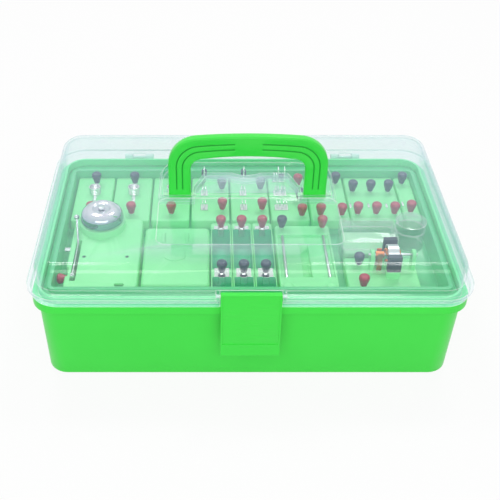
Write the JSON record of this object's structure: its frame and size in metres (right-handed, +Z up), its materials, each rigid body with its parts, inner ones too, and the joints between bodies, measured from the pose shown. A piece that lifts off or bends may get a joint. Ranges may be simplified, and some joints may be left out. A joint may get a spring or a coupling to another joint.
{
  "type": "electricity and magnetism kit",
  "caption": "Carrying case with a clear hinged lid and folding handle, holding a tray of lamp, switch, battery, bell and motor boards for classroom circuit experiments.",
  "frame": {"origin": "centre of the tub's flat underside, at rest on the table", "axes": "+X to the right along the case's length, +Y to the back where the lid is hinged, +Z up"},
  "size_m": [0.345, 0.2303, 0.1675],
  "materials": {
    "case_green": "smooth bright green",
    "tray_green": "smooth green",
    "board_green": "satin green",
    "clear_plastic": "clear and glossy",
    "steel": "bright",
    "plated": "nickel plated",
    "brass": "bright",
    "copper": "varnished copper",
    "magnet": "dark ceramic",
    "red_plastic": "moulded",
    "black_plastic": "moulded"
  },
  "bodies": {
    "case": {"tub": "case_green", "hinge_pins": "steel", "tray": "tray_green", "lamp_board_1": "board_green", "lamp_board_2": "board_green", "lamp_board_3": "board_green", "lamp_socket_1": "plated", "lamp_socket_2": "plated", "lamp_socket_3": "plated", "switch_board_1": "board_green", "switch_board_2": "board_green", "changeover_board": "board_green", "terminal_board": "board_green", "resistor_board": "board_green", "end_board": "board_green", "contact_strips": "plated", "switch_clips": "plated", "switch_pins": "steel", "battery_holder_1": "board_green", "battery_holder_2": "board_green", "battery_holder_3": "board_green", "battery_contacts": "plated", "rail_board": "board_green", "rails": "steel", "bell_body": "board_green", "bell_gong": "plated", "bell_screws": "steel", "bell_pin": "steel", "bell_core": "steel", "bell_coil": "copper", "parts_box": "board_green", "parts_box_lid": "board_green", "clear_case": "clear_plastic", "clear_case_lid": "clear_plastic", "case_insert": "board_green", "jar": "clear_plastic", "jar_cap": "clear_plastic", "motor_base": "board_green", "motor_magnets": "magnet", "motor_brushes": "copper", "red_post_caps": "red_plastic", "black_post_caps": "black_plastic", "post_inserts": "brass"},
    "lid": {"lid": "clear_plastic", "handle_pins": "steel", "latch_pin": "steel"},
    "handle": {"handle": "case_green"},
    "latch": {"latch": "case_green"},
    "knife_switch_1": {"switch_blade_1": "plated", "switch_knob_1": "black_plastic"},
    "knife_switch_2": {"switch_blade_2": "plated", "switch_knob_2": "black_plastic"},
    "changeover_switch": {"switch_blade_3": "plated", "switch_knob_3": "black_plastic"},
    "rotor": {"motor_shaft": "steel", "motor_core": "steel", "motor_coils": "copper", "motor_commutator": "copper"},
    "clapper": {"bell_clapper": "steel"}
  },
  "joints": [
    {"name": "lid_hinge", "type": "hinge", "parent": "case", "child": "lid", "pos_m": [0, 0.1125, 0.08], "axis": [-1, 0, 0], "range_deg": [0, 110]},
    {"name": "latch_hinge", "type": "hinge", "parent": "lid", "child": "latch", "pos_m": [0, -0.108, 0.0912], "axis": [-1, 0, 0], "range_deg": [0, 70]},
    {"name": "handle_hinge", "type": "hinge", "parent": "lid", "child": "handle", "pos_m": [0, 0.001, 0.111], "axis": [-1, 0, 0], "range_deg": [0, 90]},
    {"name": "knife_switch_1_hinge", "type": "hinge", "parent": "case", "child": "knife_switch_1", "pos_m": [-0.036, 0.057, 0.0798], "axis": [1, 0, 0], "range_deg": [-30, 80]},
    {"name": "knife_switch_2_hinge", "type": "hinge", "parent": "case", "child": "knife_switch_2", "pos_m": [-0.0009, 0.057, 0.0798], "axis": [1, 0, 0], "range_deg": [-30, 80]},
    {"name": "changeover_switch_hinge", "type": "hinge", "parent": "case", "child": "changeover_switch", "pos_m": [0.0325, 0.057, 0.0798], "axis": [1, 0, 0], "range_deg": [-100, 80]},
    {"name": "rotor_spin", "type": "hinge", "parent": "case", "child": "rotor", "pos_m": [0.117, -0.0445, 0.0825], "axis": [1, 0, 0], "continuous": true},
    {"name": "clapper_hinge", "type": "hinge", "parent": "case", "child": "clapper", "pos_m": [-0.14, -0.07, 0.074], "axis": [0, 0, 1], "range_deg": [-0.5, 1.5]}
  ]
}
